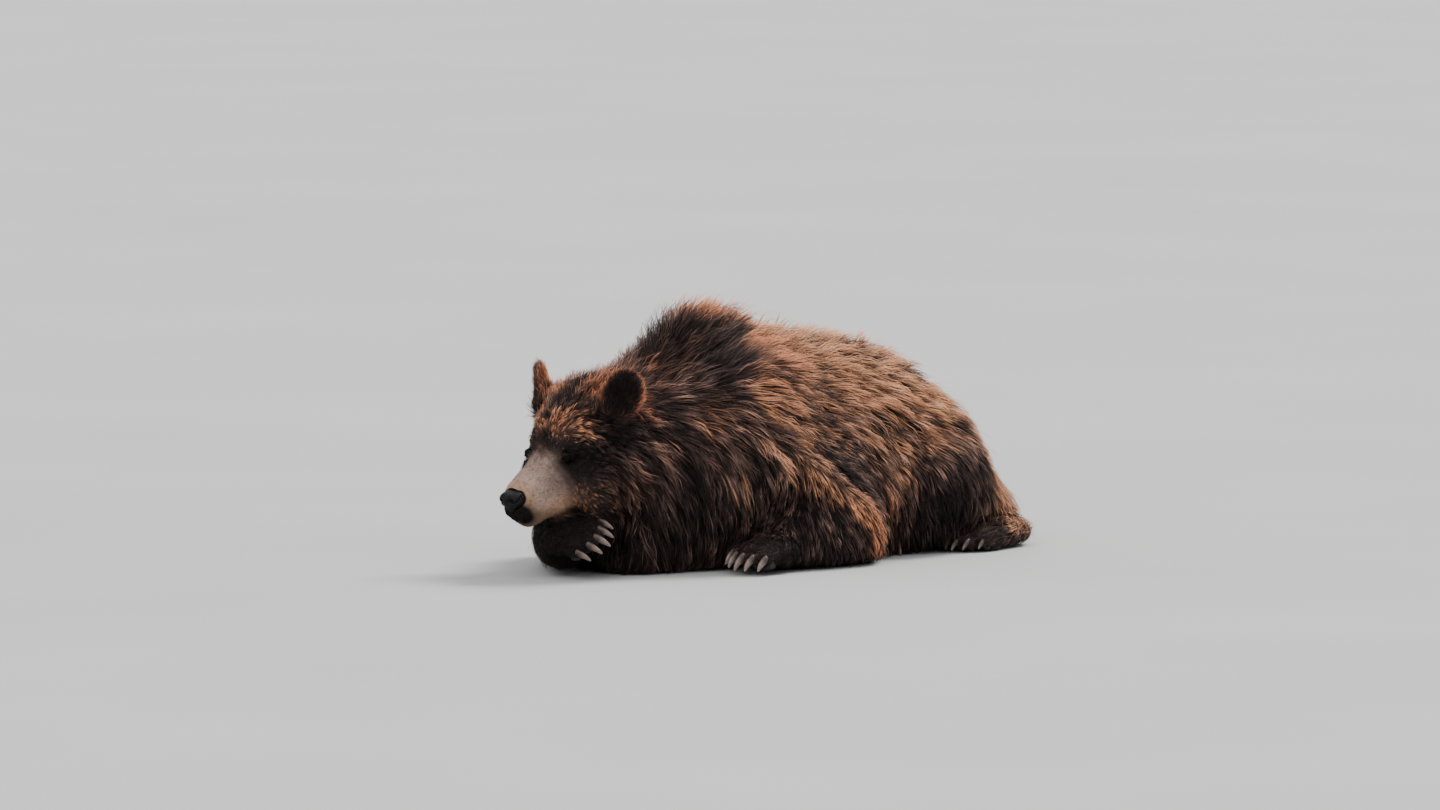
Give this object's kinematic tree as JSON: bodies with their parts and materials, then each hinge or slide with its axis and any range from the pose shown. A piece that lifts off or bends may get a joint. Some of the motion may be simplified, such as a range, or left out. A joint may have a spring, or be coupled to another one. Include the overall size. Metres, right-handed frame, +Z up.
{
  "type": "grizzly bear",
  "caption": "Life-size grizzly bear lying on its belly with its chin resting on a tucked forepaw, a still museum-style animal model.",
  "frame": {"origin": "on the floor, at the middle of the bear's box", "axes": "+X to the bear's left, +Y from nose to rump, +Z up"},
  "size_m": [0.7318, 1.4456, 0.585],
  "materials": {
    "fur": "deep shaggy coat, dark brown at the roots and orange-tan at the tips; short and grey-tan on the muzzle",
    "bare_skin": "bare, finely pebbled, slightly moist nose and paw pads",
    "claw_horn": "smooth horn, pale along its length and darker at the root",
    "eye": "wet dark brown eyeball"
  },
  "bodies": {
    "root": {"ear_left": "fur", "ear_right": "fur", "forearm_left": "fur", "forearm_right": "fur", "forepaw_left": "fur", "forepaw_right": "fur", "head": "fur", "hindpaw_left": "fur", "hindpaw_right": "fur", "neck": "fur", "shank_left": "fur", "shank_right": "fur", "tail": "fur", "thigh_left": "fur", "thigh_right": "fur", "trunk": "fur", "upper_arm_left": "fur", "upper_arm_right": "fur", "nose": "bare_skin", "eye_left": "eye", "eye_right": "eye", "forepaw_left_claw_1": "claw_horn", "forepaw_left_claw_2": "claw_horn", "forepaw_left_claw_3": "claw_horn", "forepaw_left_claw_4": "claw_horn", "forepaw_left_claw_5": "claw_horn", "forepaw_right_claw_1": "claw_horn", "forepaw_right_claw_2": "claw_horn", "forepaw_right_claw_3": "claw_horn", "forepaw_right_claw_4": "claw_horn", "forepaw_right_claw_5": "claw_horn", "hindpaw_left_claw_1": "claw_horn", "hindpaw_left_claw_2": "claw_horn", "hindpaw_left_claw_3": "claw_horn", "hindpaw_left_claw_4": "claw_horn", "hindpaw_left_claw_5": "claw_horn", "hindpaw_right_claw_1": "claw_horn", "hindpaw_right_claw_2": "claw_horn", "hindpaw_right_claw_3": "claw_horn", "hindpaw_right_claw_4": "claw_horn", "hindpaw_right_claw_5": "claw_horn"}
  },
  "joints": []
}
